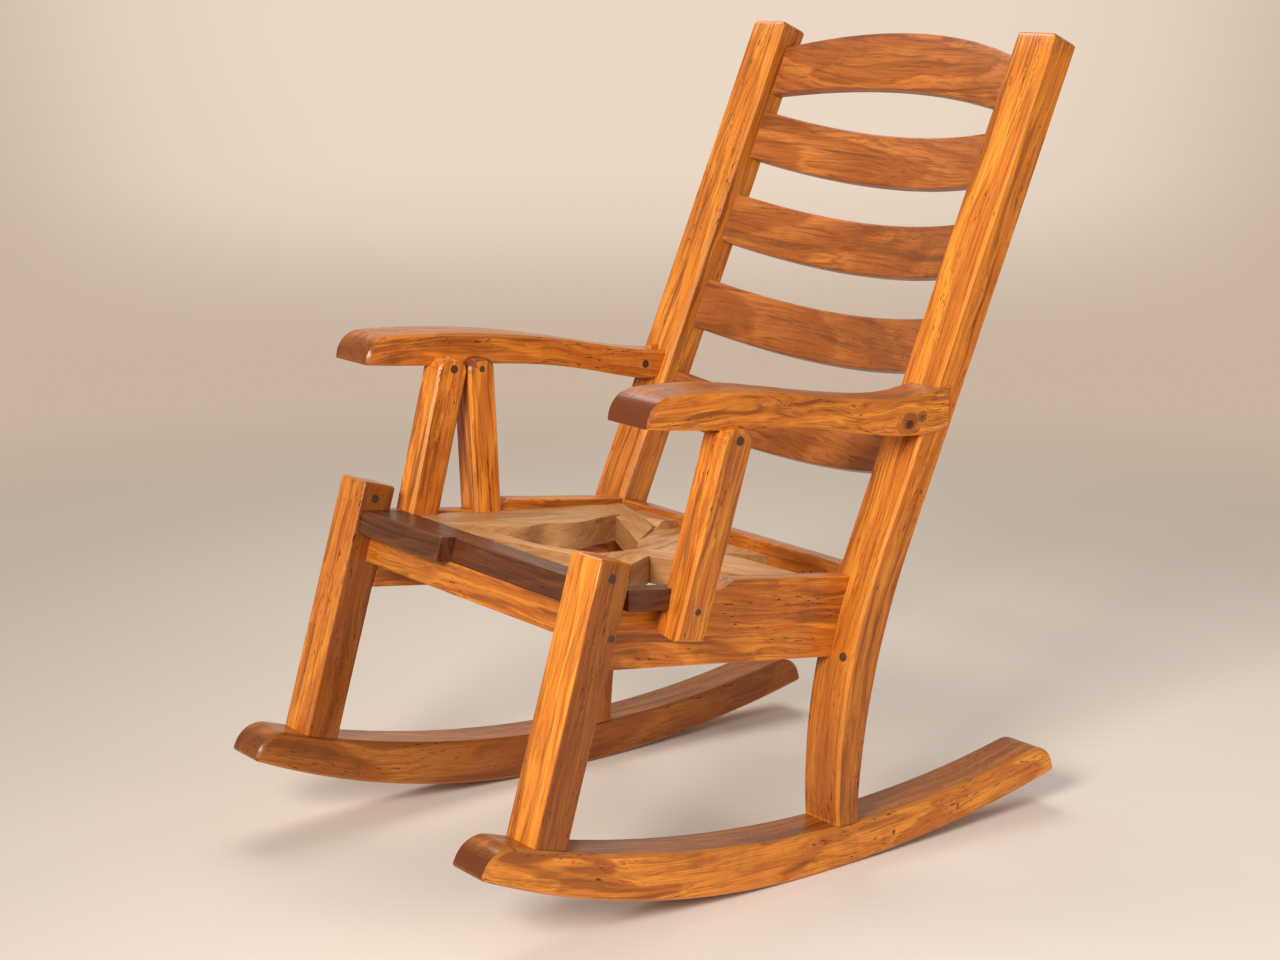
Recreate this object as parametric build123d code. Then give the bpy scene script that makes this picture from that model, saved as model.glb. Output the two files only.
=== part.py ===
from build123d import *
import os
from math import cos, radians, sin, sqrt, tan

# A pegged hardwood rocking chair. Millimetres, +Z up, the sitter faces -Y and the
# sitter's left is +X. The origin is the middle of the chair's footprint, on the floor.

# --- side frames ---
inner_span = 500          # clear width between the two side frames
fit = 0.2                 # clearance round every hidden tenon
arris = 4                 # rounding on the long edges of the bars

# --- rockers ---
rocker_width = 72
rocker_nose_y = -513
rocker_tail_y = 510
rocker_contact_y = 39     # where the rocker touches the floor at rest, under the centre of mass
rocker_front_radius = 1288   # running edge, in front of that point
rocker_rear_radius = 2117    # and behind it
rocker_top_radius = 1818  # upper edge
rocker_top_y = 118        # lowest point of the upper edge
rocker_thickness = 61     # at that point
nose_radius = 40
heel_radius = 5

# --- front legs ---
leg_width = 66
leg_depth = 53
leg_rake = 16.6           # degrees back from vertical
leg_top_y = -322          # front edge of the top
leg_top_z = 504
leg_top_bevel = 3

# --- rear posts ---
post_width = 72
post_depth = 50
post_lean = 23.8          # degrees, the straight upper part
post_top_z = 1136
post_bend_y = 140         # front edge, where it leaves the straight
post_bend_z = 420
post_back_bend_rise = 20  # the back edge leaves it higher up
post_foot_y = 78          # front edge where it meets the rocker
post_foot_z = 66
post_foot_depth = 39

# --- seat frame ---
seat_slope = 7.5          # degrees down to the rear
seat_z = 420              # top of the side rails at y = 0
rail_thickness = 28
rail_height = 114
rail_step_y = -100        # front of the step in the rail's top
rail_step_run = 26
left_rail_front_drop = 14    # top of the rail below the seat line, in front of the step
left_rail_rear_drop = 0
right_rail_front_drop = 2
right_rail_rear_drop = -14
apron_setback = 30        # behind the front face of the legs
apron_thickness = 26
apron_height = 41
board_height = 35
board_depth = 40
corner_block_length = 205
corner_block_setback = 6  # behind the front face of the legs
back_rail_y = 138
back_rail_thickness = 28
back_rail_height = 84
back_rail_rise = 12       # above the line of the side rails

# --- ladder back ---
slat_height = 78
slat_thickness = 20
slat_bow = 38
slat_sag = 10
slat_setback = 22         # behind the front face of the posts
slat_tops = (142, 279, 420, 570)   # along the posts, from their tops
crest_top = 36
crest_bow = 26
crest_rise = 42
crest_hollow = 30
slat_edge = 2

# --- arms: each runs back over points of a line (y, height of the top, depth there) ---
arm_inset = 14            # inner face, outside the inner faces of the posts
left_arm_overhang = 30    # outer face at the nose, outside the outer faces of the posts
right_arm_overhang = 32
arm_tail_z = 654          # the tongues are placed from this height
arm_taper_y = -120        # the arm narrows to its post from here back
arm_nose_radius = 38
arm_edge = 4
left_arm_nose_y = -277
left_arm_line = ((-239, 707, 44), (-150, 704, 51), (0, 680, 44), (110, 661, 48), (190, 654, 54))
left_arm_lift = 9         # the top sweeps up by this at the post
right_arm_nose_y = -306
right_arm_line = ((-268, 706, 42), (-170, 701, 47), (0, 679, 42), (110, 656, 42), (190, 640, 44))
right_arm_lift = -9
tongue_depth = 12         # the part of the left arm let in to its post, flush outside
tongue_reach = 24
tongue_drop = 14          # below the top of the arm
tongue_height = 34

# --- arm posts: places are on the seat line, heights run up from it ---
arm_post_depth = 50
arm_post_foot = 62        # reach of the feet below the seat line
arm_post_cap = 20
left_arm_post_width = 46
left_arm_post_out = 43    # inner face at the seat line, outside the inner face of the frame
left_arm_post_y = -204
left_arm_post_rake = 11
left_arm_post_splay = 7.4
left_arm_post_height = 224
right_arm_post_width = 44
right_arm_post_in = 10    # inner face, inside the inner face of the frame
right_front_post_y = -252
right_front_post_rake = 14.5
right_front_post_height = 228
right_rear_post_y = -140
right_rear_post_rake = -2.5
right_rear_post_height = 224
right_rear_post_depth = 46
bearer_height = 28
bearer_drop = 2           # top of the bearer, below the seat line
bearer_proud = 14         # outside the inner face of the arm post
bearer_front_y = -274

# --- seat braces: places are in the plane of the seat ---
brace_height = 40
brace_drop = 8            # below the seat line
brace_rise = 14           # the two right hand braces climb by this to the rear corner
hub_left = (-22, -7)      # corners of the middle, where the braces meet
hub_front = (26, -45)
hub_near = (73, -60)
hub_rear = (42, 14)
corner_block_inset = 55   # small block at the back rail, its right hand end from the rail
corner_block_reach = 80
corner_block_depth = 36
corner_block_rise = 4     # above the seat line

# --- pegs and tenons ---
peg_radius = 6
small_peg_radius = 4.5
peg_proud = 0.8
peg_fit = 0.1
key_thickness = 10        # loose tenons at the seat
key_width = 26
key_reach = 36
tenon_depth = 30
stub_depth = 14

inner_x = inner_span / 2
rail_x = inner_x + rail_thickness    # outer face of the side rails
post_x = inner_x + post_width
leg_x = inner_x + leg_width
arm_inner_x = inner_x + arm_inset
left_arm_post_x = inner_x + left_arm_post_out
right_arm_post_x = inner_x - right_arm_post_in
slope = tan(radians(seat_slope))
rake = tan(radians(leg_rake))
rake_cos = cos(radians(leg_rake))
lean = tan(radians(post_lean))
lean_cos = cos(radians(post_lean))
lean_sin = sin(radians(post_lean))
post_top_y = post_bend_y + (post_top_z - post_bend_z) * lean

# local z runs up the leg, local y runs back through it
leg_plane = Plane(origin=(inner_x, leg_top_y, leg_top_z), x_dir=(1, 0, 0), z_dir=(0, rake, 1))
# local y runs down the ladder back from the top of the posts, local z runs backwards
back_plane = Plane(origin=(0, post_top_y, post_top_z), x_dir=(1, 0, 0), z_dir=(0, lean_cos, -lean_sin))
# local z is square to the seat
seat_plane = Plane(origin=(0, 0, seat_z), x_dir=(1, 0, 0), z_dir=(0, slope, 1))


# ---------- helpers ----------
def side_slab(outline, x, thickness):
    """A flat piece: an outline in the Y-Z plane, given thickness along +X."""
    plane = Plane(origin=(x, 0, 0), x_dir=(0, 1, 0), z_dir=(1, 0, 0))
    return extrude(plane * outline, thickness)


def polygon(points):
    return make_face(Polyline(*points, close=True))


def block(plane, x, y, z):
    """A box between two values on each local axis of a plane."""
    size = Box(x[1] - x[0], y[1] - y[0], z[1] - z[0], align=(Align.MIN,) * 3)
    return plane * (Pos(x[0], y[0], z[0]) * size)


def rounded_bar(plane, x, y, z, radius, along=Axis.Z):
    """A bar with its long edges rounded."""
    size = Box(x[1] - x[0], y[1] - y[0], z[1] - z[0], align=(Align.MIN,) * 3)
    size = fillet(size.edges().filter_by(along), radius)
    return plane * (Pos(x[0], y[0], z[0]) * size)


def rod(start, end, radius):
    """A round peg from one point to another."""
    line = Line(start, end)
    return extrude(Plane(origin=start, z_dir=line % 0) * Circle(radius), line.length)


def right(piece):
    return mirror(piece, about=Plane.YZ)


def largest(body):
    return body.solids().sort_by(SortBy.VOLUME)[-1]


def ray_to_circle(start, direction, centre, radius):
    """Where a ray that starts inside a circle meets it."""
    oy, oz = start[0] - centre[0], start[1] - centre[1]
    along = oy * direction[0] + oz * direction[1]
    reach = sqrt(along**2 - oy**2 - oz**2 + radius**2) - along
    return (start[0] + reach * direction[0], start[1] + reach * direction[1])


def seat_top(y, drop=0):
    """Height of the seat line at y."""
    return seat_z - slope * y - drop


def front_face(z, setback=0):
    """Y of a face that is parallel to the front of the legs."""
    return leg_top_y - (leg_top_z - z) * rake + setback / rake_cos


def front_point(drop, setback):
    """Where such a face meets a line below the seat line."""
    start = leg_top_y - leg_top_z * rake + setback / rake_cos
    z = (seat_z - drop - slope * start) / (1 + slope * rake)
    return (front_face(z, setback), z)


def front_bar_outline(top, bottom, front, back):
    corners = [front_point(top, front), front_point(top, back)]
    corners += [front_point(bottom, back), front_point(bottom, front)]
    return polygon(corners)


# ---------- rockers ----------
rocker_top_centre = (rocker_top_y, rocker_thickness + rocker_top_radius)


def running_point(y, radius):
    return (y, radius - sqrt(radius**2 - (y - rocker_contact_y) ** 2))


def rocker_end(y, radius):
    """Lower and upper corner of an end cut square to the running edge."""
    low = running_point(y, radius)
    centre = (rocker_contact_y, radius)
    outward = ((low[0] - centre[0]) / radius, (low[1] - centre[1]) / radius)
    return low, ray_to_circle(centre, outward, rocker_top_centre, rocker_top_radius)


def rocker_outline():
    nose_low, nose_high = rocker_end(rocker_nose_y, rocker_front_radius)
    tail_low, tail_high = rocker_end(rocker_tail_y, rocker_rear_radius)
    contact = (rocker_contact_y, 0)
    front_middle = running_point((rocker_nose_y + rocker_contact_y) / 2, rocker_front_radius)
    rear_middle = running_point((rocker_tail_y + rocker_contact_y) / 2, rocker_rear_radius)
    face = make_face([
        ThreePointArc(nose_low, front_middle, contact),
        ThreePointArc(contact, rear_middle, tail_low),
        Line(tail_low, tail_high),
        ThreePointArc(tail_high, (rocker_top_y, rocker_thickness), nose_high),
        Line(nose_high, nose_low),
    ])
    ends = [face.vertices().sort_by_distance((y, z, 0))[0] for y, z in (nose_high, tail_high)]
    face = fillet(ends, nose_radius)
    heels = [face.vertices().sort_by_distance((y, z, 0))[0] for y, z in (nose_low, tail_low)]
    return fillet(heels, heel_radius)


def rocker_blank():
    return side_slab(rocker_outline(), inner_x, rocker_width)


def left_rocker():
    body = rocker_blank()
    long_edges = body.edges().filter_by(Axis.X, reverse=True)
    body = chamfer(long_edges, arris)
    body -= leg_tenon(fit)
    return body - post_tenon(fit)


# ---------- front legs ----------
def leg_length():
    """Down the front edge, from the top to well inside the rocker."""
    return (leg_top_z - rocker_thickness) / rake_cos


def leg_tenon(clearance=0):
    """The tenon under the leg, or its mortise when it gets clearance."""
    margin = leg_width / 4 - clearance
    side = (margin, leg_width - margin)
    foot = foot_distance()
    depth = (leg_depth * 0.2 - clearance, leg_depth * 0.8 + clearance)
    top = -foot + (leg_depth * 0.3 if clearance == 0 else rocker_thickness)
    return block(leg_plane, side, depth, (-foot - tenon_depth - clearance * 4, top))


def foot_distance():
    """From the top of the leg to the rocker's upper edge, along the leg's middle."""
    middle = (leg_top_y + leg_depth / 2 * rake_cos, leg_top_z - leg_depth / 2 * rake * rake_cos)
    down = (-rake * rake_cos, -rake_cos)
    hit = ray_to_circle(middle, down, rocker_top_centre, rocker_top_radius)
    return sqrt((hit[0] - middle[0]) ** 2 + (hit[1] - middle[1]) ** 2)


def leg_bar():
    body = rounded_bar(leg_plane, (0, leg_width), (0, leg_depth), (-leg_length(), 0), arris)
    return chamfer(body.faces().sort_by(Axis.Z)[-1].edges(), leg_top_bevel)


def left_front_leg():
    body = largest(leg_bar() - rocker_blank()) + leg_tenon()
    return body - rail_front_tenon(fit)


# ---------- rear posts ----------
def post_edge(z, back=0):
    """Y on the straight part of a post, some depth behind its front face."""
    return post_top_y - (post_top_z - z) * lean + back / lean_cos


def post_outline():
    front_top = (post_top_y, post_top_z)
    back_top = (post_top_y + post_depth * lean_cos, post_top_z - post_depth * lean_sin)
    front_bend = (post_bend_y, post_bend_z)
    back_bend_z = post_bend_z + post_back_bend_rise
    back_bend = (post_edge(back_bend_z, post_depth), back_bend_z)
    front_foot = (post_foot_y, post_foot_z)
    back_foot = (post_foot_y + post_foot_depth, post_foot_z)
    down = (-lean_sin, -lean_cos)
    deeper = rocker_thickness / 2
    front_curve = TangentArc(front_bend, front_foot, tangent=down)
    back_curve = TangentArc(back_bend, back_foot, tangent=down)
    front_sole = front_foot[0], front_foot[1] - deeper
    back_sole = back_foot[0], back_foot[1] - deeper
    return make_face([
        Line(front_top, front_bend),
        front_curve,
        Line(front_foot, front_sole),
        Line(front_sole, back_sole),
        Line(back_sole, back_foot),
        back_curve,
        Line(back_bend, back_top),
        Line(back_top, front_top),
    ])


def post_bar():
    body = side_slab(post_outline(), inner_x, post_width)
    long_edges = body.edges().filter_by(Axis.X, reverse=True)
    return chamfer(long_edges.filter_by(lambda e: e.center().Z > post_foot_z), arris)


def post_tenon(clearance=0):
    """The tenon under the post, or its mortise when it gets clearance."""
    quarter = post_width / 4 - clearance
    mid = post_foot_y + post_foot_depth / 2
    half = post_foot_depth * 0.3 + clearance
    top = post_foot_z + (rocker_thickness / 3 if clearance == 0 else rocker_thickness)
    low = post_foot_z - tenon_depth - clearance * 4
    return block(Plane.XY, (inner_x + quarter, post_x - quarter), (mid - half, mid + half), (low, top))


def rear_post():
    """The left post, without the housing for the arm."""
    body = post_bar() - rocker_blank() + post_tenon()
    body -= slat_tenons(fit)
    body -= back_rail_tenon(fit)
    return body - rail_back_tenon(fit)


# ---------- seat frame ----------
def rail_outline(front_drop, rear_drop):
    """A deep board with a lower front part; its rear end runs into the post."""
    step_end = rail_step_y + rail_step_run
    back_top, back_low = post_bend_y + stub_depth, post_bend_y - stub_depth * 2
    return polygon([
        front_point(front_drop, leg_depth),
        (rail_step_y, seat_top(rail_step_y, front_drop)),
        (step_end, seat_top(step_end, rear_drop)),
        (back_top, seat_top(back_top, rear_drop)),
        (back_low, seat_top(back_low, rail_height)),
        front_point(rail_height, leg_depth),
    ])


def side_rail(front_drop, rear_drop):
    """The left rail, between the back of the leg and the front of the post."""
    body = side_slab(rail_outline(front_drop, rear_drop), inner_x, rail_thickness)
    body -= side_slab(post_outline(), inner_x, post_width)
    top = body.edges().filter_by(lambda e: e.center().Z > seat_top(e.center().Y, rail_step_run))
    body = chamfer(top.filter_by(lambda e: e.length > rail_thickness * 1.2), arris / 2)
    return body + rail_front_tenon() + rail_back_tenon()


def rail_front_tenon(clearance=0):
    """Stub tenon into the back of the leg."""
    x, thickness = inner_x + 9 - clearance, rail_thickness - 18 + clearance * 2
    front, back = leg_depth - stub_depth - clearance * 2, leg_depth + 6
    top, low = rail_height * 0.2 - clearance, rail_height * 0.42 + clearance
    return side_slab(front_bar_outline(top, low, front, back), x, thickness)


def rail_back_tenon(clearance=0):
    """Stub tenon into the front of the post."""
    x = (inner_x + 9 - clearance, rail_x - 9 + clearance)
    y = (post_bend_y - 50, post_bend_y - 10 + clearance)
    z = (seat_top(post_bend_y, 70 + clearance), seat_top(post_bend_y, 40 - clearance))
    return block(Plane.XY, x, y, z)


def back_rail_face():
    """Y of the back rail's front face at a depth below the seat line."""
    return lambda drop: back_rail_y - drop * slope


def front_apron():
    back = apron_setback + apron_thickness
    outline = front_bar_outline(board_height, board_height + apron_height, apron_setback, back)
    body = side_slab(outline, -inner_x, inner_span)
    return fillet(body.edges().filter_by(Axis.X).sort_by(Axis.Z)[0], arris)


def front_corner_block():
    back = apron_setback + board_depth
    outline = front_bar_outline(0, board_height, corner_block_setback, back)
    body = side_slab(outline, -inner_x, corner_block_length)
    return chamfer(body.edges().filter_by(Axis.X).sort_by(Axis.Y)[:2], arris / 2)


def front_board():
    back = apron_setback + board_depth
    outline = front_bar_outline(0, board_height, apron_setback, back)
    body = side_slab(outline, -inner_x + corner_block_length, inner_span - corner_block_length)
    return chamfer(body.edges().filter_by(Axis.X).sort_by(Axis.Y)[:2], arris / 2)


def board_tongue(clearance=0):
    """A loose strip between the front boards and the apron under them."""
    middle = apron_setback + apron_thickness / 2
    top, low = board_height - tongue_depth - clearance, board_height + tongue_depth + clearance
    outline = front_bar_outline(top, low, middle - key_thickness / 2, middle + key_thickness / 2)
    length = inner_span - leg_width + clearance * 2
    return side_slab(outline, -length / 2, length)


def back_rail():
    face = back_rail_face()
    top, low = -back_rail_rise, back_rail_height - back_rail_rise
    depth = back_rail_thickness
    outline = polygon([
        (face(top), seat_top(face(top), top)),
        (face(top) + depth, seat_top(face(top) + depth, top)),
        (face(low) + depth, seat_top(face(low) + depth, low)),
        (face(low), seat_top(face(low), low)),
    ])
    body = side_slab(outline, -inner_x, inner_span)
    body = fillet(body.edges().filter_by(Axis.X).sort_by(Axis.Z)[-2:], arris)
    return body + back_rail_tenon() + right(back_rail_tenon())


def back_rail_tenon(clearance=0):
    """Stub tenon into the inner face of the post."""
    y = (back_rail_y + 4 - clearance, back_rail_y + 15 + clearance)
    z = (seat_top(back_rail_y, 34 + clearance), seat_top(back_rail_y, -8 - clearance))
    return block(Plane.XY, (inner_x - 4, inner_x + stub_depth + clearance * 2), y, z)


# ---------- ladder back ----------
def arc_through(chord, rise, offset):
    """A shallow arc on local X and Y: its ends at offset, its middle at offset + rise."""
    return ThreePointArc((-chord, offset), (0, offset + rise), (chord, offset))


def arc_band(half, first, second):
    """A band between two arcs, each given as rise and offset."""
    near_arc = arc_through(half, *first)
    far_arc = arc_through(half, *second)
    return make_face([near_arc, Line(near_arc @ 1, far_arc @ 1), far_arc, Line(far_arc @ 0, near_arc @ 0)])


def slat(top, bow, top_sag, bottom_sag):
    """A bent slat between the posts, with a stub tenon at each end."""
    half = inner_x
    plan = arc_band(half, (bow, slat_setback), (bow, slat_setback + slat_thickness))
    plan_plane = Plane(back_plane.from_local_coords((0, 0, 0)), x_dir=(1, 0, 0), z_dir=-back_plane.y_dir)
    front = arc_band(half, (top_sag, top), (bottom_sag, top + slat_height))
    depth = slat_setback + slat_thickness + bow + 20
    reach = top + slat_height + abs(bottom_sag) + 20
    bent = extrude(plan_plane * plan, -reach)
    body = bent & extrude(back_plane * front, depth)
    long_edges = body.edges().filter_by(lambda e: e.length > inner_span * 0.9)
    body = chamfer(long_edges, slat_edge)
    tenon = slat_tenon(top)
    return body + tenon + right(tenon)


def slat_tenon(top, clearance=0):
    y = (top + 12 - clearance, top + slat_height - 12 + clearance)
    z = (slat_setback + 6 - clearance, slat_setback + slat_thickness - 3 + clearance)
    return block(back_plane, (inner_x - 6, inner_x + stub_depth + clearance * 2), y, z)


def slat_tenons(clearance):
    return [slat_tenon(top, clearance) for top in (crest_top,) + slat_tops]


# ---------- arms ----------
def arm_side(nose_y, line, lift):
    """Side view: a rounded nose, then a top and an underside through the line's points."""
    radius = arm_nose_radius
    centre = (nose_y + radius, line[0][1] - radius)
    shoulder = (centre[0] - radius * sqrt(0.5), centre[1] + radius * sqrt(0.5))
    nose_low, nose_top = (nose_y, centre[1]), (centre[0], line[0][1])
    tail_y = post_edge(line[-1][1]) + post_depth / 2
    tail_z = line[-1][1] + lift
    tops = [(y, z) for y, z, depth in line[1:]] + [(tail_y, tail_z)]
    lows = [(y, z - depth) for y, z, depth in line[1:]] + [(tail_y, tail_z - line[-1][2] - lift)]
    tail_slope = (tops[-1][0] - tops[-2][0], tops[-1][1] - tops[-2][1])
    top = Spline(nose_top, *tops, tangents=[(1, 0), tail_slope])
    low = Spline(nose_low, *lows)
    return make_face([ThreePointArc(nose_low, shoulder, nose_top), top, Line(top @ 1, low @ 1), low])


def arm_plan(nose_y, overhang):
    """Seen from above: parallel sides, then a taper to the width that meets the post."""
    tail_y = post_edge(arm_tail_z) + post_depth
    return polygon([
        (arm_inner_x, nose_y - 1),
        (arm_inner_x, tail_y),
        (post_x, tail_y),
        (post_x + overhang, arm_taper_y),
        (post_x + overhang, nose_y - 1),
    ])


def arm_blank(nose_y, line, lift, overhang):
    """The left hand form of an arm, running on into the post."""
    side = side_slab(arm_side(nose_y, line, lift), inner_x, post_width + overhang * 2)
    body = side & extrude(arm_plan(nose_y, overhang), arm_tail_z * 2)
    long_edges = body.edges().filter_by(lambda e: abs((e @ 1 - e @ 0).Y) > arm_edge)
    return chamfer(long_edges, arm_edge)


def left_arm_blank():
    return arm_blank(left_arm_nose_y, left_arm_line, left_arm_lift, left_arm_overhang)


def right_arm_blank():
    return right(arm_blank(right_arm_nose_y, right_arm_line, right_arm_lift, right_arm_overhang))


def before_post(blank, post):
    """The part of an arm in front of its post."""
    return (blank - post).solids().sort_by(Axis.Y)[0]


def tongue(x, reach, clearance=0):
    """What runs on from an arm's tail into its post."""
    top, low = arm_tail_z - tongue_drop + clearance, arm_tail_z - tongue_drop - tongue_height - clearance
    outline = polygon([
        (post_edge(top) - reach, top),
        (post_edge(top) + reach + clearance, top),
        (post_edge(low) + reach + clearance, low),
        (post_edge(low) - reach, low),
    ])
    return side_slab(outline, x[0] - clearance, x[1] - x[0] + clearance * 2)


def left_tongue(clearance=0):
    """Let in to the outer face of the post and flush with it."""
    return tongue((post_x - tongue_depth, post_x), tongue_reach, clearance)


def right_tongue(clearance=0):
    """A stub tenon into the front of the post."""
    middle = (arm_inner_x + post_x) / 2
    return right(tongue((middle - tongue_depth / 2, middle + tongue_depth / 2), stub_depth, clearance))


def left_arm():
    post = side_slab(post_outline(), inner_x, post_width)
    return before_post(left_arm_blank(), post) + left_tongue()


def right_arm():
    post = right(side_slab(post_outline(), inner_x, post_width))
    return before_post(right_arm_blank(), post) + right_tongue()


# ---------- arm posts ----------
def arm_post_plane(x, y, rake_angle, splay=0):
    """A plane on the seat line; local z runs up the post and local y back through it."""
    up = (tan(radians(splay)), tan(radians(rake_angle)), 1)
    return Plane(origin=(x, y, seat_top(y)), x_dir=(1, 0, -up[0]), z_dir=up)


def arm_post_bar(plane, width, depth, height):
    """A bar with a round top and softened edges."""
    bar = Box(width, depth, arm_post_foot + height, align=(Align.MIN,) * 3)
    bar = fillet(bar.edges().filter_by(Axis.X).sort_by(Axis.Z)[-2:], arm_post_cap)
    bar = chamfer(bar.faces().filter_by(Axis.X).edges(), arris)
    return plane * (Pos(0, 0, -arm_post_foot) * bar)


left_post_plane = arm_post_plane(left_arm_post_x, left_arm_post_y, left_arm_post_rake, left_arm_post_splay)
right_corner_x = -right_arm_post_x - right_arm_post_width
right_front_plane = arm_post_plane(right_corner_x, right_front_post_y, right_front_post_rake)
right_rear_plane = arm_post_plane(right_corner_x, right_rear_post_y, right_rear_post_rake)


def arm_tenon(plane, width, depth, height, clearance=0):
    """The tenon that a post sends up into its arm."""
    x = (width * 0.12 - clearance, width * 0.36 + clearance)
    y = (depth * 0.25 - clearance, depth * 0.75 + clearance)
    return block(plane, x, y, (height - 45, height + stub_depth + clearance))


left_post = (left_post_plane, left_arm_post_width, arm_post_depth, left_arm_post_height)
right_front_post = (right_front_plane, right_arm_post_width, arm_post_depth, right_front_post_height)
right_rear_post = (right_rear_plane, right_arm_post_width, right_rear_post_depth, right_rear_post_height)


def left_arm_post():
    """Stands outside the bearer, carries the arm and laps its outer face."""
    return largest(arm_post_bar(*left_post) - left_arm_blank()) + arm_tenon(*left_post)


def right_arm_post(post):
    """Straddles the rail, carries the arm and laps its inner face."""
    rail = right(side_rail(right_rail_front_drop, right_rail_rear_drop))
    return largest(arm_post_bar(*post) - right_arm_blank() - rail) + arm_tenon(*post)


def left_bearer():
    """The block between the left side rail and its arm post."""
    front, rear = bearer_front_y, left_arm_post_y + arm_post_depth
    low = bearer_drop + bearer_height
    outline = polygon([
        (front, seat_top(front, bearer_drop)),
        (rear, seat_top(rear, bearer_drop)),
        (rear, seat_top(rear, low)),
        (front, seat_top(front, low)),
    ])
    body = side_slab(outline, rail_x, left_arm_post_x + bearer_proud - rail_x)
    return body - block(left_post_plane, (0, 200), (0, 200), (-200, 200))


# ---------- seat braces ----------
def seat_opening():
    """The space between the side rails, from the front boards to the back rail."""
    behind_boards = apron_setback + board_depth
    face = back_rail_face()
    high, low = seat_z + rail_height, seat_z - rail_height
    outline = polygon([
        (front_face(low, behind_boards), low),
        (front_face(high, behind_boards), high),
        (face(-rail_height), seat_top(face(-rail_height), -rail_height)),
        (face(rail_height), seat_top(face(rail_height), rail_height)),
    ])
    return side_slab(outline, -inner_x, inner_span)


def brace_plane(place, climb_x=0, climb_y=0):
    """The top of a brace: the seat's plane, lowered and tilted about a place."""
    x, y = place
    tilt_y = climb_y - slope
    return Plane(origin=(x, y, seat_top(y, brace_drop)), x_dir=(1, 0, climb_x), z_dir=(-climb_x, -tilt_y, 1))


def brace(outline, plane):
    """A seat brace: its outline in plan, a slab under a plane, kept inside the seat frame."""
    reach = (-inner_span, inner_span)
    slab = block(plane, reach, reach, (-brace_height, 0))
    return extrude(outline, seat_z * 2) & slab & seat_opening()


level = brace_plane(hub_left)
climb = brace_rise / inner_span
side_level = brace_plane((0, -262), climb_y=climb * 1.2)
corner_level = brace_plane(hub_left, climb_x=-climb * 1.5, climb_y=climb * 0.9)


def front_brace():
    """The thin curved one, from the front right corner to the middle."""
    near = Spline((-inner_x - 20, -272), (-124, -240), (-45, -214), (39, -176), (100, -160))
    far = Spline((58, -120), (16, -155), (-30, -182), (-83, -190), (-160, -204), (-inner_x - 20, -225))
    return brace(make_face([near, Line(near @ 1, far @ 0), far, Line(far @ 1, near @ 0)]), level)


def front_left_brace():
    outline = polygon([hub_front, hub_near, (106, -104), (235, -275), (235, -310), (150, -310), (48, -128)])
    return brace(outline, level)


def right_side_brace():
    """Follows the right rail, with the waney edge of its plank inside."""
    waves = ((-163, -205), (-141, -167), (-126, -134), (-137, -88), (-132, -58), (-143, -6), (-175, 75))
    edge = Spline((-inner_x - 20, -225), *waves)
    return brace(make_face([edge, Polyline(edge @ 1, (-inner_x - 20, 110), edge @ 0)]), side_level)


def rear_right_brace():
    """Climbs from the middle to the rear right corner."""
    corner = -inner_x - 20
    outline = polygon([hub_left, (-175, 68), (corner, 92), (corner, 145), (-177, 118), (-99, 80)])
    return brace(outline, corner_level)


def back_brace():
    """Widens from the middle to the back rail."""
    outline = polygon([hub_left, hub_front, hub_rear, (75, 80), (110, 170), (-160, 170), (-119, 96)])
    return brace(outline, level)


def left_side_brace():
    rail = inner_x + 20
    return brace(polygon([hub_front, hub_near, (111, -40), (rail, 15), (rail, 95), (75, 80), hub_rear]), level)


def brace_keys(clearance=0):
    """Loose tenons between the braces and the frame round them."""
    drop = brace_drop + brace_height / 2
    back = back_rail_face()(drop)
    front = front_point(drop, apron_setback + board_depth)[0]
    keys = [key((-inner_x, y), drop, (key_reach, key_width), clearance) for y in (-195, -30, 107)]
    keys.append(key((inner_x, 55), drop, (key_reach, key_width), clearance))
    keys.append(key((175, front), drop - 8, (key_width, key_reach), clearance))
    keys.append(key((-60, back), drop, (key_width, key_reach), clearance))
    return keys


def key(place, drop, size, clearance):
    grow = clearance * 2
    body = Box(size[0] + grow, size[1] + grow, key_thickness + grow)
    return Pos(place[0], place[1], seat_top(place[1], drop)) * body


def rear_corner_block():
    """A small block with a round front, against the back rail."""
    x = -inner_x + corner_block_inset
    top = Plane(origin=(x, back_rail_y, seat_top(back_rail_y)), x_dir=(1, 0, 0), z_dir=seat_plane.z_dir)
    depth = corner_block_depth
    body = block(top, (0, corner_block_reach), (-depth, 0), (-brace_height, corner_block_rise))
    body = fillet(body.edges().filter_by(Axis.X).sort_by(Axis.Y)[:2], depth / 2.5)
    return body & seat_opening()


# ---------- pegs and dowels: each is its two ends and its radius ----------
def leg_pins():
    """The cross pin near the top of each leg."""
    start = leg_plane.from_local_coords((leg_width + peg_proud, leg_depth * 0.42, -22))
    end = leg_plane.from_local_coords((-peg_proud, leg_depth * 0.42, -22))
    return mirrored([(tuple(start), tuple(end), peg_radius)])


def apron_pegs():
    y, z = front_point(board_height + 27, apron_setback + apron_thickness / 2)
    return mirrored([((leg_x + peg_proud, y, z), (inner_x - 40, y, z), peg_radius - 1)])


def across(plane, x, y, z, reach, radius):
    """A row for a peg that starts at a local point of a plane and runs along X."""
    start = plane.from_local_coords((x, y, z))
    return ((start.X, start.Y, start.Z), (start.X + reach, start.Y, start.Z), radius)


def left_arm_post_pegs():
    """One through the top into the arm, one through the foot into the bearer and rail."""
    head = left_arm_post_width + peg_proud
    middle = arm_post_depth / 2
    return [
        across(left_post_plane, head, middle, left_arm_post_height - 14, -50, peg_radius),
        across(left_post_plane, head, middle, -20, -80, small_peg_radius),
    ]


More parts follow.
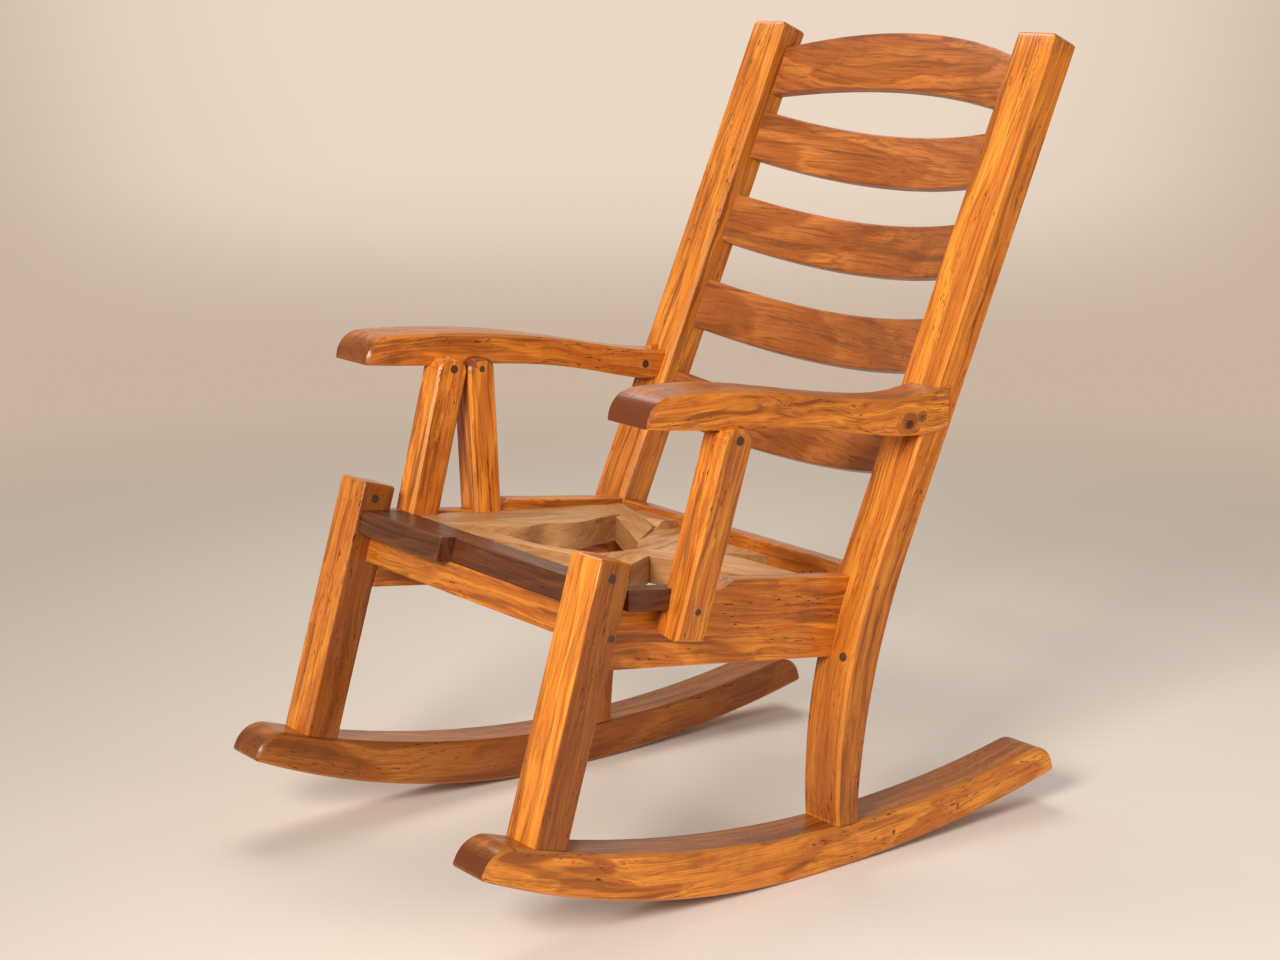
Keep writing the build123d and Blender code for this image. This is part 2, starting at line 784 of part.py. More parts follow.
def right_arm_post_pegs():
    """Driven from inside the chair, just under the round tops."""
    width = right_arm_post_width + peg_proud
    front = (right_front_plane, width, arm_post_depth / 2, right_front_post_height - 16, -40, peg_radius)
    rear_z = right_rear_post_height - 16
    rear = (right_rear_plane, width, right_rear_post_depth / 2, rear_z, -40, small_peg_radius)
    return [across(*front), across(*rear)]


def arm_tail_pegs():
    """The left one holds the tongue in its post; the right one is inside, short of the post."""
    z = arm_tail_z - tongue_drop - tongue_height * 0.65
    y = post_edge(z) + tongue_reach * 0.65
    left = ((post_x + peg_proud, y, z), (post_x - 32, y, z), peg_radius)
    y = post_edge(z) - tongue_height
    face = -arm_inner_x
    return [left, ((face + peg_proud, y, z), (face - 32, y, z), peg_radius)]


def post_plugs():
    """Plugs over the fixings on the front of the posts, below the seat."""
    x, y, z = inner_x + post_width * 0.75, post_foot_y + 18, 298
    return mirrored([((x, y, z), (x, y + post_depth - 1, z), peg_radius)])


def mirrored(rows):
    flip = [((-a[0], a[1], a[2]), (-b[0], b[1], b[2]), radius) for a, b, radius in rows]
    return rows + flip


def pegs(rows):
    group = Part()
    for start, end, radius in rows:
        group += rod(start, end, radius)
    return group


def drill(name, *groups):
    """Cut the holes for pegs and dowels in a finished piece."""
    for rows in groups:
        for start, end, radius in rows:
            parts[name] -= rod(start, end, radius + peg_fit)


# ---------- assembly ----------
parts = {
    "left_rocker": left_rocker(),
    "left_front_leg": left_front_leg(),
    "left_rear_post": rear_post(),
}
for name in list(parts):
    parts["right" + name[4:]] = right(parts[name])
parts["left_rear_post"] -= left_tongue(fit)
parts["right_rear_post"] -= right_tongue(fit)
parts["left_side_rail"] = side_rail(left_rail_front_drop, left_rail_rear_drop)
parts["right_side_rail"] = right(side_rail(right_rail_front_drop, right_rail_rear_drop))
parts["front_apron"] = front_apron()
parts["front_corner_block"] = front_corner_block()
parts["front_board"] = front_board()
parts["back_rail"] = back_rail()
parts["crest_rail"] = slat(crest_top, crest_bow, -crest_rise, -crest_hollow)
for number, top in enumerate(slat_tops, start=2):
    parts[f"back_slat_{number}"] = slat(top, slat_bow, slat_sag, slat_sag)
parts["left_arm"] = left_arm()
parts["right_arm"] = right_arm()
parts["left_arm_post"] = left_arm_post()
parts["left_arm_bearer"] = left_bearer()
parts["right_front_arm_post"] = right_arm_post(right_front_post)
parts["right_rear_arm_post"] = right_arm_post(right_rear_post)

arm_posts = [parts["right_front_arm_post"], parts["right_rear_arm_post"]]
parts["seat_brace_front"] = front_brace() - front_left_brace() - arm_posts
parts["seat_brace_front_left"] = front_left_brace()
parts["seat_brace_rear_right"] = rear_right_brace()
parts["seat_brace_right_side"] = right_side_brace() - front_brace() - rear_right_brace() - arm_posts
parts["seat_brace_back"] = back_brace() - front_left_brace() - rear_right_brace()
parts["seat_brace_left_side"] = left_side_brace() - front_left_brace() - back_brace()
parts["rear_corner_block"] = rear_corner_block() - rear_right_brace() - back_brace()

parts["left_arm"] -= arm_tenon(*left_post, fit)
parts["right_arm"] -= [arm_tenon(*right_front_post, fit), arm_tenon(*right_rear_post, fit)]
for name in ("front_apron", "front_corner_block", "front_board"):
    parts[name] -= board_tongue(fit)
framed = [name for name in parts if name.startswith("seat_brace") or name.endswith("side_rail")]
for name in framed + ["front_board", "back_rail"]:
    parts[name] -= brace_keys(fit)

for side in ("left", "right"):
    drill(side + "_front_leg", leg_pins(), apron_pegs())
    drill(side + "_rear_post", arm_tail_pegs(), post_plugs())
    drill(side + "_arm", arm_tail_pegs(), left_arm_post_pegs(), right_arm_post_pegs())
drill("left_side_rail", left_arm_post_pegs())
drill("front_apron", apron_pegs())
drill("left_arm_post", left_arm_post_pegs())
drill("left_arm_bearer", left_arm_post_pegs())
drill("right_front_arm_post", right_arm_post_pegs())
drill("right_rear_arm_post", right_arm_post_pegs())

parts["leg_pins"] = pegs(leg_pins())
parts["apron_pegs"] = pegs(apron_pegs())
parts["arm_post_pegs"] = pegs(left_arm_post_pegs() + right_arm_post_pegs())
parts["arm_tail_pegs"] = pegs(arm_tail_pegs())
parts["post_plugs"] = pegs(post_plugs())
parts["board_tongue"] = board_tongue()
parts["brace_keys"] = Part() + brace_keys()

os.makedirs("parts", exist_ok=True)
for name, piece in parts.items():
    export_step(piece, f"parts/{name}.step")
    print(name, len(piece.solids()), round(piece.volume))
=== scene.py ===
import math
import bmesh
import bpy
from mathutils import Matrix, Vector


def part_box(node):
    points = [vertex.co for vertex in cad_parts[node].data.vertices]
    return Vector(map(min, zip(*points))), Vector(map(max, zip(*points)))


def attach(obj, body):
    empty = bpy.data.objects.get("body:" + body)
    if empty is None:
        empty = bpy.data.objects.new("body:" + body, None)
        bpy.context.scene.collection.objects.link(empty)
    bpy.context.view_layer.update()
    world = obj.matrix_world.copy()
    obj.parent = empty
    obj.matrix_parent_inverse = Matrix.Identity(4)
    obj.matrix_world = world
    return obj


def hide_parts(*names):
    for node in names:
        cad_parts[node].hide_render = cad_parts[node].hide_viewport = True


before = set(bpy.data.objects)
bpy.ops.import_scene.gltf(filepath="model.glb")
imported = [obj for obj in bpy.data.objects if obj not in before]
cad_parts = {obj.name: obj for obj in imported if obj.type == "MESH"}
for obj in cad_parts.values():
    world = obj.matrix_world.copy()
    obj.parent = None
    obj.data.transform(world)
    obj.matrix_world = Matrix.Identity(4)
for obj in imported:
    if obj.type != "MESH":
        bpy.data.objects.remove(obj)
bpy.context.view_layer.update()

print("frame loaded")

# camera, light and surroundings

camera = {
    "place": (2.716, -2.104, 1.270),
    "lookAt": (0.0, -0.020, 0.5095),
    "lens": 69.42,
    "sensor": 36.0,
}
lightAim = (0, 0, 0.45)
keyLight = {"place": (1.7, -3.4, 2.3), "size": 1.3, "power": 190, "colour": (1.0, 0.96, 0.91)}
fillLight = {"place": (3.8, 0.6, 1.5), "size": 1.2, "power": 24, "colour": (1.0, 0.95, 0.90)}
topLight = {"place": (-1.6, 0.6, 3.2), "size": 2.0, "power": 60, "colour": (1.0, 0.97, 0.94)}
# what lights the object from all sides, and the backdrop seen behind it: darker low down, with a painted pool
# of light high in the middle
room = {
    "light": 0.36,
    "colour": (1.0, 0.96, 0.92),
    "low": (0.585, 0.462, 0.362),
    "high": (0.830, 0.685, 0.560),
    "rise": (-0.165, -0.088),     # heights of the look between which it goes from low to high
    "middle": (0.955, 0.992),     # and how straight it looks at the middle
}
floor = {
    "radius": 8.0,
    "segments": 64,
    "fade": (3.5, 1.7),           # distances between which it comes out of the room
    "colour": (0.80, 0.73, 0.66),
    "warmth": (1.0, 0.955, 0.905),
    # painted shade: the floor is darker behind the object, and darker still far to the left
    "dim": 0.78,                  # the floor behind the object, beside its colour in front
    "behind": (-1.0, 2.2),        # where it dims, away from the camera
    "corner": 0.62,               # the floor far to the left
    "left": (0.5, -1.5),          # where that begins and ends
    "roughness": 0.9,
    "specular": 0.1,
}
ahead = (Vector(camera["lookAt"]) - Vector(camera["place"])).to_2d().normalized().to_3d()
across = Vector((ahead.y, -ahead.x, 0))


def addObject(name, data):
    obj = bpy.data.objects.new(name, data)
    bpy.context.scene.collection.objects.link(obj)
    return obj


def pointAt(obj, target):
    way = Vector(target) - obj.location
    obj.rotation_euler = way.to_track_quat("-Z", "Y").to_euler()


def addCamera(spec):
    data = bpy.data.cameras.new("camera")
    data.lens = spec["lens"]
    data.sensor_width = spec["sensor"]
    obj = addObject("camera", data)
    obj.location = spec["place"]
    pointAt(obj, spec["lookAt"])
    bpy.context.scene.camera = obj


def addSoftbox(name, spec):
    data = bpy.data.lights.new(name, "AREA")
    data.shape = "SQUARE"
    data.size = spec["size"]
    data.energy = spec["power"]
    data.color = spec["colour"]
    obj = addObject(name, data)
    obj.location = spec["place"]
    pointAt(obj, lightAim)


bpy.context.scene.view_settings.view_transform = "Standard"
addCamera(camera)
addSoftbox("keyLight", keyLight)
addSoftbox("fillLight", fillLight)
addSoftbox("topLight", topLight)
print("camera and lights placed")

# shader nodes: an input is given by its name, or by its number after an i


def addNode(tree, kind, settings=None, **inputs):
    node = tree.nodes.new(kind)
    for key, value in (settings or {}).items():
        setattr(node, key, value)
    for key, value in inputs.items():
        numbered = key[0] == "i" and key[1:].isdigit()
        slot = node.inputs[int(key[1:])] if numbered else node.inputs[key]
        if isinstance(value, bpy.types.NodeSocket):
            tree.links.new(value, slot)
        else:
            slot.default_value = value
    return node


def calculate(tree, kind, operation, *values):
    inputs = {f"i{number}": value for number, value in enumerate(values)}
    return addNode(tree, kind, {"operation": operation}, **inputs)


def maths(tree, operation, *values):
    return calculate(tree, "ShaderNodeMath", operation, *values).outputs[0]


def vectorMaths(tree, operation, *values):
    return calculate(tree, "ShaderNodeVectorMath", operation, *values).outputs["Vector"]


def distance(tree, vector):
    return calculate(tree, "ShaderNodeVectorMath", "LENGTH", vector).outputs["Value"]


def dot(tree, vector, way):
    return calculate(tree, "ShaderNodeVectorMath", "DOT_PRODUCT", vector, way).outputs["Value"]


def spread(tree, value, low, high):
    # a soft step from 0 at low to 1 at high
    node = addNode(tree, "ShaderNodeMapRange", {"interpolation_type": "SMOOTHSTEP"}, Value=value)
    node.inputs["From Min"].default_value = low
    node.inputs["From Max"].default_value = high
    return node.outputs["Result"]


def mixColour(tree, amount, first, second):
    node = tree.nodes.new("ShaderNodeMix")
    node.data_type = "RGBA"
    amountSlot, firstSlot, secondSlot, mixed = node.inputs[0], node.inputs[6], node.inputs[7], node.outputs[2]
    for slot, value in ((amountSlot, amount), (firstSlot, first), (secondSlot, second)):
        if isinstance(value, bpy.types.NodeSocket):
            tree.links.new(value, slot)
        elif isinstance(value, tuple):
            slot.default_value = (*value, 1)
        else:
            slot.default_value = value
    return mixed


def between(first, second, part):
    return tuple(start + (end - start) * part for start, end in zip(first, second))


def addRoom(spec):
    world = bpy.data.worlds.new("room")
    world.use_nodes = True
    tree = world.node_tree
    look = addNode(tree, "ShaderNodeTexCoord").outputs["Generated"]
    height = addNode(tree, "ShaderNodeSeparateXYZ", i0=look).outputs["Z"]
    # painted pool of light on the backdrop, brighter high up and straight ahead
    high = spread(tree, height, *spec["rise"])
    lightPoolMiddle = spread(tree, dot(tree, look, ahead), *spec["middle"])
    colour = mixColour(tree, maths(tree, "MULTIPLY", high, lightPoolMiddle), spec["low"], spec["high"])
    seen = addNode(tree, "ShaderNodeBackground", Color=colour, Strength=1.0)
    lit = addNode(tree, "ShaderNodeBackground", Color=(*spec["colour"], 1), Strength=spec["light"])
    path = addNode(tree, "ShaderNodeLightPath").outputs
    mirrored = maths(tree, "MAXIMUM", path["Is Glossy Ray"], path["Is Transmission Ray"])
    direct = maths(tree, "MAXIMUM", path["Is Camera Ray"], mirrored)
    both = addNode(tree, "ShaderNodeMixShader", i0=direct, i1=lit.outputs[0], i2=seen.outputs[0])
    tree.links.new(both.outputs[0], tree.nodes["World Output"].inputs["Surface"])
    bpy.context.scene.world = world


def addFloor(spec):
    paper = bpy.data.materials.new("floorPaper")
    paper.use_nodes = True
    tree = paper.node_tree
    surface = tree.nodes["Principled BSDF"]
    place = addNode(tree, "ShaderNodeTexCoord").outputs["Object"]
    warmed = [part * tint for part, tint in zip(spec["colour"], spec["warmth"])]
    shadedBehind = tuple(part * spec["dim"] for part in warmed)
    corner = tuple(part * spec["corner"] for part in warmed)
    # painted shade on the floor, behind the object and far to its left
    behind = spread(tree, dot(tree, place, ahead), *spec["behind"])
    left = spread(tree, dot(tree, place, across), *spec["left"])
    colour = mixColour(tree, behind, spec["colour"], shadedBehind)
    colour = mixColour(tree, left, colour, corner)
    tree.links.new(colour, surface.inputs["Base Color"])
    tree.links.new(spread(tree, distance(tree, place), *spec["fade"]), surface.inputs["Alpha"])
    surface.inputs["Roughness"].default_value = spec["roughness"]
    surface.inputs["Specular IOR Level"].default_value = spec["specular"]
    mesh = bpy.data.meshes.new("floor")
    bm = bmesh.new()
    bmesh.ops.create_circle(bm, cap_ends=True, radius=spec["radius"], segments=spec["segments"])
    bm.to_mesh(mesh)
    bm.free()
    mesh.materials.append(paper)
    obj = addObject("floor", mesh)


addRoom(room)
addFloor(floor)
print("room and floor placed")

# Wood finishes. Every piece carries its own grain: an attribute with x along the board and y and z
# across it, in metres from the heart of its tree. Knots are places on the object: centre, radius,
# and how far their dark halo is drawn out along each axis.

orangeWood = {
    "name": "orangeWood", "slot": "orange_hardwood",
    "light": (0.90, 0.315, 0.032), "mid": (0.54, 0.125, 0.014), "dark": (0.072, 0.015, 0.004),
    "ringsPerMetre": 95, "rings": 0.66, "wander": 0.030, "eddy": 0.006,
    "streaksPerMetre": 74, "streak": 0.66, "fine": 0.56, "curl": 0.42, "fibre": 0.55, "pores": 0.85,
    "roughness": 0.33, "coat": 0.20,
    "knots": (
        ((0.328, 0.189, 0.617), 0.0065, (1, 0.7, 0.9)),
        ((0.325, 0.214, 0.623), 0.0038, (1, 0.8, 0.8)),
        ((0.322, 0.235, 0.588), 0.0030, (1, 0.6, 0.5)),
    ),
}
goldWood = {
    **orangeWood,
    "name": "goldWood",
    "light": (0.88, 0.315, 0.034), "mid": (0.56, 0.135, 0.014), "dark": (0.080, 0.016, 0.004),
    "ringsPerMetre": 60, "rings": 0.60, "wander": 0.022,
    "streaksPerMetre": 88, "streak": 0.62, "fine": 0.60, "curl": 0.34,
    "knots": (),
}
flameWood = {
    **orangeWood,
    "name": "flameWood", "slot": "red_brown_hardwood",
    "light": (0.94, 0.340, 0.042), "mid": (0.50, 0.125, 0.015), "dark": (0.065, 0.014, 0.004),
    "ringsPerMetre": 58, "rings": 0.74, "wander": 0.050,
    "streaksPerMetre": 44, "streak": 0.62, "fine": 0.46,
    "knots": (),
}
redWood = {
    "name": "redWood", "slot": "red_brown_hardwood",
    "light": (0.60, 0.190, 0.036), "mid": (0.35, 0.090, 0.015), "dark": (0.050, 0.011, 0.004),
    "ringsPerMetre": 84, "rings": 0.78, "wander": 0.036, "eddy": 0.007,
    "streaksPerMetre": 72, "streak": 0.50, "fine": 0.52, "curl": 0.55, "fibre": 0.50, "pores": 0.4,
    "roughness": 0.34, "coat": 0.20, "knots": (),
}
walnutWood = {
    "name": "walnutWood", "slot": "dark_walnut",
    "light": (0.150, 0.046, 0.016), "mid": (0.078, 0.021, 0.008), "dark": (0.020, 0.006, 0.003),
    "ringsPerMetre": 110, "rings": 0.55, "wander": 0.022, "eddy": 0.005,
    "streaksPerMetre": 80, "streak": 0.5, "fine": 0.4, "curl": 0.35, "fibre": 0.4, "pores": 0.5,
    "roughness": 0.38, "coat": 0.08, "knots": (),
}
paleWood = {
    "name": "paleWood", "slot": "pale_wood",
    "light": (0.70, 0.41, 0.175), "mid": (0.50, 0.235, 0.080), "dark": (0.20, 0.068, 0.020),
    "ringsPerMetre": 105, "rings": 0.60, "wander": 0.020, "eddy": 0.006,
    "streaksPerMetre": 50, "streak": 0.62, "fine": 0.4, "curl": 0.22, "fibre": 0.35, "pores": 0.4,
    "roughness": 0.45, "coat": 0.10, "knots": (),
}
pegWood = {
    "name": "pegWood", "slot": "peg_wood",
    "light": (0.095, 0.044, 0.024), "mid": (0.050, 0.023, 0.013), "dark": (0.016, 0.008, 0.005),
    "ringsPerMetre": 700, "rings": 0.6, "wander": 0.003, "eddy": 0.0,
    "streaksPerMetre": 80, "streak": 0.3, "fine": 0.3, "curl": 0.1, "fibre": 0.3, "pores": 0.3,
    "roughness": 0.42, "coat": 0.15, "knots": (),
}
# The noises of a board: how tight they are along and across the grain, and the band of each that
# shows. The streaks' own tightness across comes from the wood.
figure = {
    "wander": {"stretch": (2.4, 10, 10), "detail": 3, "roughness": 0.5},
    "eddy": {"stretch": (7, 30, 30), "detail": 2, "roughness": 0.5},
    "slow": {"stretch": (1.6, 9, 9), "detail": 2, "roughness": 0.5, "band": (0.36, 0.66)},
    "streak": {"stretch": (2.6, 1, 1), "detail": 3, "roughness": 0.62, "band": (0.49, 0.66)},
    "fine": {"stretch": (6, 260, 260), "detail": 2, "roughness": 0.6, "band": (0.48, 0.66)},
    "curl": {"stretch": (34, 24, 24), "detail": 3, "roughness": 0.6, "band": (0.44, 0.66)},
    "fibre": {"stretch": (10, 520, 520), "detail": 3, "roughness": 0.65, "band": (0.42, 0.70)},
    "pore": {"stretch": (62, 460, 460), "detail": 1, "roughness": 0.5, "band": (0.63, 0.69)},
    "poreArea": {"stretch": (7, 45, 45), "detail": 2, "roughness": 0.5, "band": (0.44, 0.62)},
}
ring = {"alongGrain": 0.07, "rise": (0.0, 0.8), "fall": (1.0, 0.88)}     # a year's ring darkens, then ends
# how deep each layer's colour lies between the wood's middle and dark colours
depth = {"slow": 0.30, "curl": 0.35, "streak": 1.0, "fine": 0.6, "fibre": 0.45, "toneAndShade": 0.88}
poreShade = 0.4     # pores and the hearts of knots, beside the dark colour
slowStrength = 0.5
knot = {"halo": (3, 0.9), "core": (1.1, 0.6), "push": 0.02, "haloDark": 0.55, "coreDark": 0.85}
# a painted highlight on the arrises: how strong, and how much paler than the wood's light colour
edgeHighlightPaint = {"strength": 0.30, "gain": 1.15, "lift": 0.01}
polish = {"coatRoughness": 0.10, "specular": 0.20, "fibreRoughness": 0.10}
relief = {"pore": -0.8, "strength": 0.16, "distance": 0.0008}


def addNoise(tree, place, kind, squeeze=1):
    along, sideways, through = figure[kind]["stretch"]
    stretched = vectorMaths(tree, "MULTIPLY", place, (along, sideways * squeeze, through * squeeze))
    noise = addNode(tree, "ShaderNodeTexNoise", Vector=stretched, Scale=1.0)
    noise.inputs["Detail"].default_value = figure[kind]["detail"]
    noise.inputs["Roughness"].default_value = figure[kind]["roughness"]
    return noise.outputs


def addMask(tree, place, kind, squeeze=1):
    return spread(tree, addNoise(tree, place, kind, squeeze)["Fac"], *figure[kind]["band"])


def addSway(tree, grain, kind, amount):
    # a sideways drift of the grain, as far as amount each way
    centred = vectorMaths(tree, "SUBTRACT", addNoise(tree, grain, kind)["Color"], (0.5, 0.5, 0.5))
    return vectorMaths(tree, "MULTIPLY", centred, (0, amount * 2, amount * 2))


def addKnots(tree, knots):
    # how near the surface is to a knot: a soft halo and a hard core
    halo = core = 0.0
    place = addNode(tree, "ShaderNodeTexCoord").outputs["Object"]
    for centre, radius, drawn in knots:
        beside = vectorMaths(tree, "SUBTRACT", place, centre)
        gap = distance(tree, vectorMaths(tree, "MULTIPLY", beside, drawn))
        nearHalo = spread(tree, gap, *(radius * part for part in knot["halo"]))
        nearCore = spread(tree, gap, *(radius * part for part in knot["core"]))
        halo = maths(tree, "MAXIMUM", halo, nearHalo)
        core = maths(tree, "MAXIMUM", core, nearCore)
    return halo, core


def makeWood(spec):
    material = bpy.data.materials.new(spec["name"])
    material.use_nodes = True
    tree = material.node_tree
    surface = tree.nodes["Principled BSDF"]
    grain = addNode(tree, "ShaderNodeAttribute", {"attribute_name": "grain"}).outputs["Vector"]
    toneAndShade = addNode(tree, "ShaderNodeAttribute", {"attribute_name": "toneAndShade"}).outputs["Fac"]
    edgeHighlight = addNode(tree, "ShaderNodeAttribute", {"attribute_name": "edgeHighlight"}).outputs["Fac"]
    mid, dark = spec["mid"], spec["dark"]
    deep = tuple(part * poreShade for part in dark)

    # the board wanders round the heart of the tree, which draws arches on its flat faces
    drifted = vectorMaths(tree, "ADD", grain, addSway(tree, grain, "wander", spec["wander"]))
    wandered = vectorMaths(tree, "ADD", drifted, addSway(tree, grain, "eddy", spec["eddy"]))
    if spec["knots"]:
        halo, core = addKnots(tree, spec["knots"])
        pushed = maths(tree, "MULTIPLY", halo, knot["push"])
        push = addNode(tree, "ShaderNodeCombineXYZ", Y=pushed, Z=pushed).outputs[0]
        wandered = vectorMaths(tree, "ADD", wandered, push)
    flat = vectorMaths(tree, "MULTIPLY", wandered, (ring["alongGrain"], 1, 1))
    years = maths(tree, "MULTIPLY", distance(tree, flat), spec["ringsPerMetre"])
    season = maths(tree, "FRACT", years)
    darkening = spread(tree, season, *ring["rise"])
    ringMask = maths(tree, "MULTIPLY", darkening, spread(tree, season, *ring["fall"]))

    # slow changes of colour, ripples across the grain, dark streaks, fibres, painted highlights on the
    # arrises and pores
    slow = addMask(tree, wandered, "slow")
    curl = maths(tree, "MULTIPLY", addMask(tree, wandered, "curl"), slow)
    streak = addMask(tree, wandered, "streak", spec["streaksPerMetre"])
    fine = addMask(tree, wandered, "fine")
    fibreNoise = addNoise(tree, grain, "fibre")["Fac"]
    fibre = spread(tree, fibreNoise, *figure["fibre"]["band"])
    pore = maths(tree, "MULTIPLY", addMask(tree, wandered, "pore"), addMask(tree, grain, "poreArea"))

    colour = mixColour(tree, maths(tree, "MULTIPLY", ringMask, spec["rings"]), spec["light"], mid)
    layers = (
        ("slow", slow, slowStrength),
        ("curl", curl, spec["curl"]),
        ("streak", streak, spec["streak"]),
        ("fine", fine, spec["fine"]),
        ("fibre", fibre, spec["fibre"]),
    )
    for name, mask, strength in layers:
        amount = maths(tree, "MULTIPLY", mask, strength)
        colour = mixColour(tree, amount, colour, between(mid, dark, depth[name]))
    # painted highlight: the narrow arris faces are mixed towards a paler colour
    pale = tuple(min(part * edgeHighlightPaint["gain"] + edgeHighlightPaint["lift"], 1) for part in spec["light"])
    colour = mixColour(tree, maths(tree, "MULTIPLY", edgeHighlight, edgeHighlightPaint["strength"]), colour, pale)
    # painted shade on tops, sides and the braces' rims, mixed with the wood's own darker noses, caps and
    # pieces
    colour = mixColour(tree, toneAndShade, colour, between(mid, dark, depth["toneAndShade"]))
    colour = mixColour(tree, maths(tree, "MULTIPLY", pore, spec["pores"]), colour, deep)
    if spec["knots"]:
        colour = mixColour(tree, maths(tree, "MULTIPLY", halo, knot["haloDark"]), colour, dark)
        colour = mixColour(tree, maths(tree, "MULTIPLY", core, knot["coreDark"]), colour, deep)
    tree.links.new(colour, surface.inputs["Base Color"])

    rough = maths(tree, "MULTIPLY_ADD", fibre, polish["fibreRoughness"], spec["roughness"])
    tree.links.new(rough, surface.inputs["Roughness"])
    surface.inputs["Coat Weight"].default_value = spec["coat"]
    surface.inputs["Coat Roughness"].default_value = polish["coatRoughness"]
    surface.inputs["Specular IOR Level"].default_value = polish["specular"]
    hollows = maths(tree, "MULTIPLY_ADD", pore, relief["pore"], fibreNoise)
    bump = addNode(tree, "ShaderNodeBump", Height=hollows)
    bump.inputs["Strength"].default_value = relief["strength"]
    bump.inputs["Distance"].default_value = relief["distance"]
    tree.links.new(bump.outputs["Normal"], surface.inputs["Normal"])
    return material


woods = (orangeWood, goldWood, flameWood, redWood, walnutWood, paleWood, pegWood)
finishes = {wood["name"]: makeWood(wood) for wood in woods}
print("wood finishes mixed")

# how a piece is dressed

rightwards = Vector((1, 0, 0))
# narrow faces along an arris, which get a painted highlight: how wide, and how far it turns along its long
# sides
arris = {
    "rounded": 0.0025, "cut": 0.0059, "slight": math.radians(12), "turn": math.radians(35), "longSide": 0.7,
}
softEdge = {"width": 0.0018, "segments": 3, "angle": math.radians(30)}
mending = {"weld": 1e-5, "flat": math.radians(0.3), "cut": 1e-6}
# a shade grows over this span of a face's turn, and noses, caps and low parts begin at these places
shading = {"start": 0.3, "span": 0.6, "noseY": -0.235, "capZ": 0.648, "lowZ": 0.62, "lowSteepness": 3}
topCuts = (67.5, 45, 22.5)     # degrees of the flat cuts that round a post's top


def straightGrain(along, face):
    # grain that runs straight along a board, with its flat face given
    first = Vector(along).normalized()
    second = (Vector(face) - first * Vector(face).dot(first)).normalized()
    third = first.cross(second)

    def place(point):
        return Vector((point.dot(first), point.dot(second), point.dot(third)))

    return place


def cutFlat(bm, place, normal, outside=False):
    everything = bm.verts[:] + bm.edges[:] + bm.faces[:]
    return bmesh.ops.bisect_plane(bm, geom=everything, dist=mending["cut"], plane_co=place,
                                  plane_no=normal, clear_outer=outside)["geom_cut"]


def sliceAlong(bm, axis, step):
    # cross cuts, so that bent grain follows the board between its ends
    lowest = min(v.co[axis] for v in bm.verts)
    length = max(v.co[axis] for v in bm.verts) - lowest
    count = int(length / step)
    normal = Vector((0, 0, 0))
    normal[axis] = 1
    for number in range(1, count + 1):
        cutFlat(bm, normal * (lowest + length * number / (count + 1)), normal)


def markEdgeHighlight(bm):
    # marks the narrow faces along the arrises, where a highlight is painted
    layer = bm.faces.layers.float.new("edgeHighlight")
    for face in bm.faces:
        width = 2 * face.calc_area() / face.calc_perimeter()
        longest = max(edge.calc_length() for edge in face.edges)
        sides = [edge for edge in face.edges if edge.calc_length() > longest * arris["longSide"]]
        limit = arris["slight"] if width < arris["rounded"] else arris["turn"]
        turned = max(edge.calc_face_angle(0) for edge in sides) > limit
        face[layer] = 1.0 if width < arris["cut"] and turned else 0.0


def roundTop(bm, along, radius):
    # rounds the edges of an upper end that stands square to its bar, by flat cuts as tangents
    along = Vector(along).normalized()
    forwards = rightwards.cross(along)
    height = max(v.co.dot(along) for v in bm.verts)
    tops = [v.co for v in bm.verts if v.co.dot(along) > height - radius]
    for side in (rightwards, -rightwards, forwards, -forwards):
        reach = max(point.dot(side) for point in tops)
        for degrees in topCuts:
            angle = math.radians(degrees)
            normal = along * math.sin(angle) + side * math.cos(angle)
            place = along * (height - radius) + side * (reach - radius) + normal * radius
            cut = cutFlat(bm, place, normal, outside=True)
            rim = [edge for edge in cut if isinstance(edge, bmesh.types.BMEdge)]
            if rim:
                bmesh.ops.edgeloop_fill(bm, edges=rim)
    bmesh.ops.recalc_face_normals(bm, faces=bm.faces)


def ramp(value):
    return min(max((value - shading["start"]) / shading["span"], 0), 1)


# how far a face turns each way: a piece's shades darken its wood by this. Noses are darker end grain, and
# caps, whole pieces (all) and the parts below the seat (low) are darker too. Top, left and rim are painted
# shade on upward faces, on faces turned to the left and on the braces' sides, which partly are the wood's own
# darker sides as well.
facing = {
    "all": lambda face: 1,
    # painted shade on upward faces
    "top": lambda face: ramp(face.normal.z),
    # painted shade on faces turned to the left, partly the wood's own darker side
    "left": lambda face: ramp(face.normal.x),
    # painted shade on the braces' sides, together with their darker waney edges
    "rim": lambda face: ramp(1 - abs(face.normal.z)),
    "nose": lambda face: ramp(-face.normal.y) if face.center.y < shading["noseY"] else 0,
    "cap": lambda face: 1 if face.center.z > shading["capZ"] else 0,
    "low": lambda face: ramp((shading["lowZ"] - face.center.z) * shading["lowSteepness"]),
}


def addFigure(mesh, piece):
    # the grain is measured from the heart of the tree, which the seed places by the piece's middle
    mesh.attributes.new("grain", "FLOAT_VECTOR", "POINT")
    mesh.attributes.new("toneAndShade", "FLOAT", "FACE")
    grain = mesh.attributes["grain"].data
    toneAndShade = mesh.attributes["toneAndShade"].data
    low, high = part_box(piece["node"])
    middle = piece["grain"]((Vector(low) + Vector(high)) / 2)
    shift = Vector(piece["seed"]) - middle
    for vertex in mesh.vertices:
        grain[vertex.index].vector = piece["grain"](vertex.co) + shift
    # the wood's own darker tone and painted shade, face by face
    shades = piece.get("shades", {})
    for face in mesh.polygons:
        toneAndShade[face.index].value = sum(amount * facing[side](face) for side, amount in shades.items())


